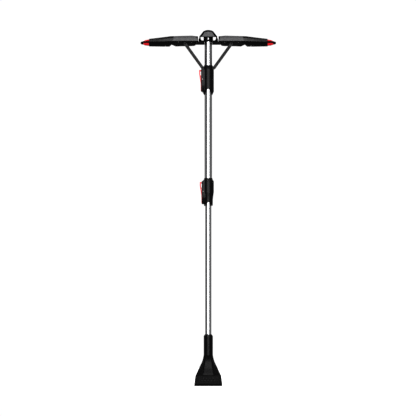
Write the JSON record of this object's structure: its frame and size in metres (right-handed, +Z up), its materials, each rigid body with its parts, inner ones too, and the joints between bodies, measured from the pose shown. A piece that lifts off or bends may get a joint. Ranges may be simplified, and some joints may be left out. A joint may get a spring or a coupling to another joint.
{
  "type": "windshield ice scraper",
  "caption": "Telescoping pole with a two-winged snow head that folds down like an umbrella, two locking collars with side triggers, and an ice scraper foot.",
  "frame": {"origin": "centre of the scraper's edge, at the bottom of the pole's axis", "axes": "+Z up along the pole to the snow head, +X along the right wing, away from both triggers, -Y is the front"},
  "size_m": [0.507, 0.082, 1.3346],
  "materials": {
    "aluminium_tube": "drawn, satin",
    "black_plastic": "moulded, lightly textured",
    "grey_texture": "moulded, grained",
    "red_plastic": "moulded, satin gloss",
    "black_rubber": "matt",
    "bright_steel": "polished",
    "zinc_steel": "zinc plated",
    "black_steel": "blackened",
    "nylon": "natural nylon"
  },
  "bodies": {
    "upper_pole": {"upper_tube": "aluminium_tube", "hub_body": "black_plastic", "hub_front_cap": "grey_texture", "hub_rear_cap": "grey_texture", "hub_rivet": "bright_steel", "wing_hinge_pin_left": "black_steel", "wing_hinge_pin_right": "black_steel", "lock_front_shell": "black_plastic", "lock_rear_shell": "black_plastic", "lock_guide_bush": "nylon", "lock_screws": "zinc_steel", "lock_trigger_pin": "zinc_steel", "lock_spring": "zinc_steel"},
    "lower_pole": {"lower_tube": "aluminium_tube", "lower_tube_guide": "nylon", "scraper_head": "black_plastic", "scraper_screw": "zinc_steel"},
    "runner": {"runner_front_shell": "black_plastic", "runner_rear_shell": "black_plastic", "runner_upper_bush": "nylon", "runner_lower_bush": "nylon", "runner_screws": "zinc_steel", "runner_trigger_pin": "zinc_steel", "runner_spring": "zinc_steel", "strut_foot_pin_left": "black_steel", "strut_foot_pin_right": "black_steel"},
    "runner_trigger": {"runner_trigger": "red_plastic", "runner_brake_pad": "black_rubber"},
    "lock_trigger": {"lock_trigger": "red_plastic", "lock_brake_pad": "black_rubber"},
    "strut_left": {"strut_left": "black_plastic", "strut_head_studs_left": "black_steel"},
    "wing_left": {"wing_core_left": "black_plastic", "wing_cover_left": "grey_texture", "wing_upper_shell_left": "black_plastic", "wing_lower_shell_left": "black_plastic", "wing_blade_left": "black_rubber", "wing_tip_upper_left": "red_plastic", "wing_tip_lower_left": "red_plastic", "wing_screws_left": "zinc_steel"},
    "strut_right": {"strut_right": "black_plastic", "strut_head_studs_right": "black_steel"},
    "wing_right": {"wing_core_right": "black_plastic", "wing_cover_right": "grey_texture", "wing_upper_shell_right": "black_plastic", "wing_lower_shell_right": "black_plastic", "wing_blade_right": "black_rubber", "wing_tip_upper_right": "red_plastic", "wing_tip_lower_right": "red_plastic", "wing_screws_right": "zinc_steel"}
  },
  "joints": [
    {"name": "pole_slide", "type": "slide", "parent": "upper_pole", "child": "lower_pole", "axis": [0, 0, 1], "range_m": [0, 0.47]},
    {"name": "runner_slide", "type": "slide", "parent": "upper_pole", "child": "runner", "axis": [0, 0, -1], "range_m": [0, 0.05903]},
    {"name": "wing_right_fold", "type": "hinge", "parent": "upper_pole", "child": "wing_right", "pos_m": [0.044, 0, 1.286], "axis": [0, 1, 0], "range_deg": [0, 85]},
    {"name": "wing_left_fold", "type": "hinge", "parent": "upper_pole", "child": "wing_left", "pos_m": [-0.044, 0, 1.286], "axis": [0, -1, 0], "range_deg": [0, 85]},
    {"name": "strut_right_swing", "type": "hinge", "parent": "runner", "child": "strut_right", "pos_m": [0.0217, 0, 1.193], "axis": [0, -1, 0], "range_deg": [0, 23.78]},
    {"name": "strut_left_swing", "type": "hinge", "parent": "runner", "child": "strut_left", "pos_m": [-0.0217, 0, 1.193], "axis": [0, 1, 0], "range_deg": [0, 23.78]},
    {"name": "runner_trigger_press", "type": "hinge", "parent": "runner", "child": "runner_trigger", "pos_m": [-0.022, 0, 1.15], "axis": [0, 1, 0], "range_deg": [0, 6], "stiffness_Nm_per_rad": 1.2, "springref_deg": -2.86, "deforming": ["runner_spring"]},
    {"name": "lock_trigger_press", "type": "hinge", "parent": "upper_pole", "child": "lock_trigger", "pos_m": [-0.0195, 0, 0.7295], "axis": [0, 1, 0], "range_deg": [0, 6], "stiffness_Nm_per_rad": 1.2, "springref_deg": -2.86, "deforming": ["lock_spring"]}
  ],
  "couplings": [
    {"joint": "wing_right_fold", "follows": "runner_slide", "rad_per_m": 25.131},
    {"joint": "wing_left_fold", "follows": "runner_slide", "rad_per_m": 25.131},
    {"joint": "strut_right_swing", "follows": "runner_slide", "rad_per_m": 7.0286},
    {"joint": "strut_left_swing", "follows": "runner_slide", "rad_per_m": 7.0286}
  ]
}
